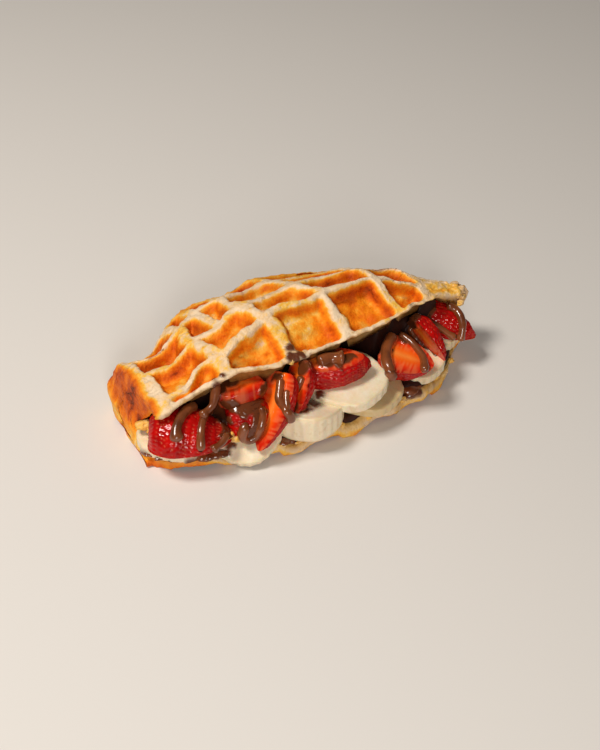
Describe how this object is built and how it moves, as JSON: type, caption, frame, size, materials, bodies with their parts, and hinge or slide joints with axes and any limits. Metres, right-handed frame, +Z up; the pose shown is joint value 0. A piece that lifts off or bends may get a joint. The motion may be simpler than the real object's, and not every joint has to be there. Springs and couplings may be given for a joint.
{
  "type": "croffle",
  "caption": "Croissant pressed in a waffle iron, split along one side and filled with banana slices, cut strawberries and chocolate sauce.",
  "frame": {"origin": "centre of the bounding box's bottom, on the face it rests on", "axes": "+X along the croffle's length towards its pointed end, +Y from the open filled side towards the closed back, +Z up"},
  "size_m": [0.1778, 0.0942, 0.0534],
  "materials": {
    "crust": "baked, flaky and dry",
    "banana": "moist cut fruit",
    "strawberry": "moist fruit under glossy sauce",
    "chocolate": "glossy sauce"
  },
  "bodies": {
    "root": {"croffle": "crust", "banana_slice_1": "banana", "banana_slice_2": "banana", "banana_slice_3": "banana", "banana_slice_4": "banana", "banana_slice_5": "banana", "banana_slice_6": "banana", "banana_slice_7": "banana", "strawberry_1": "strawberry", "strawberry_2": "strawberry", "strawberry_3": "strawberry", "strawberry_4": "strawberry", "strawberry_5": "strawberry", "strawberry_6": "strawberry", "strawberry_7": "strawberry", "strawberry_8": "strawberry", "strawberry_9": "strawberry", "chocolate_filling": "chocolate"}
  },
  "joints": []
}
